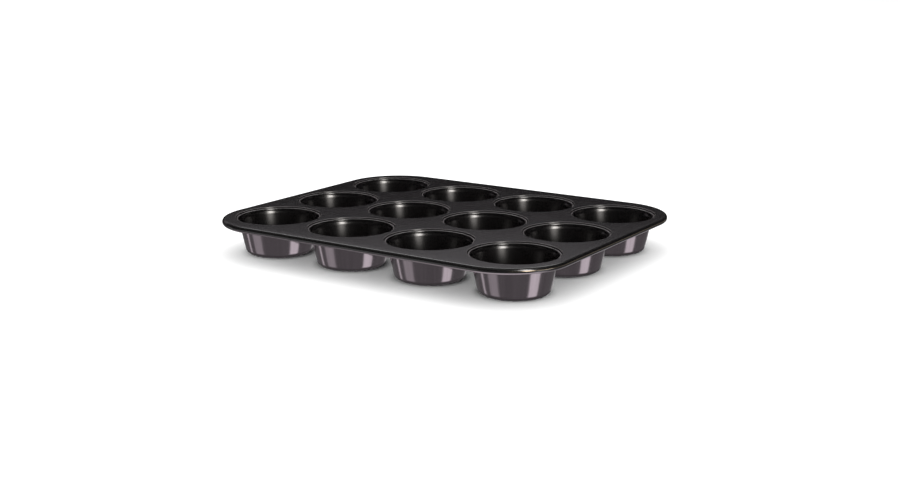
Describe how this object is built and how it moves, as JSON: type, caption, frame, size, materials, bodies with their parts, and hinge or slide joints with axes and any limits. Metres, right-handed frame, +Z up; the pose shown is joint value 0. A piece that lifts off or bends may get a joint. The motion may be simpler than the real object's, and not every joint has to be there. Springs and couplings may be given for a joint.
{
  "type": "muffin tin",
  "caption": "Rectangular non-stick muffin tin: a flat steel deck with round corners and a curled, wired rim, holding a grid of tapered, flat-based cups.",
  "frame": {"origin": "middle of the footprint, on the plane the cup bases stand on", "axes": "+X along the long side, the row of four cups; +Y along the short side; +Z up, out of the cups' mouths"},
  "size_m": [0.334, 0.275, 0.032],
  "materials": {
    "deck_coat": "charcoal-black satin non-stick coating on sheet steel, with faint orange peel",
    "cup_coat": "aubergine-grey metallic coating outside the cups, charcoal-black non-stick coating inside them",
    "wire_steel": "bright drawn steel wire, hidden in the rim"
  },
  "bodies": {
    "root": {"deck": "deck_coat", "rim_wire": "wire_steel", "cup_front_1": "cup_coat", "cup_front_2": "cup_coat", "cup_front_3": "cup_coat", "cup_front_4": "cup_coat", "cup_middle_1": "cup_coat", "cup_middle_2": "cup_coat", "cup_middle_3": "cup_coat", "cup_middle_4": "cup_coat", "cup_back_1": "cup_coat", "cup_back_2": "cup_coat", "cup_back_3": "cup_coat", "cup_back_4": "cup_coat"}
  },
  "joints": []
}
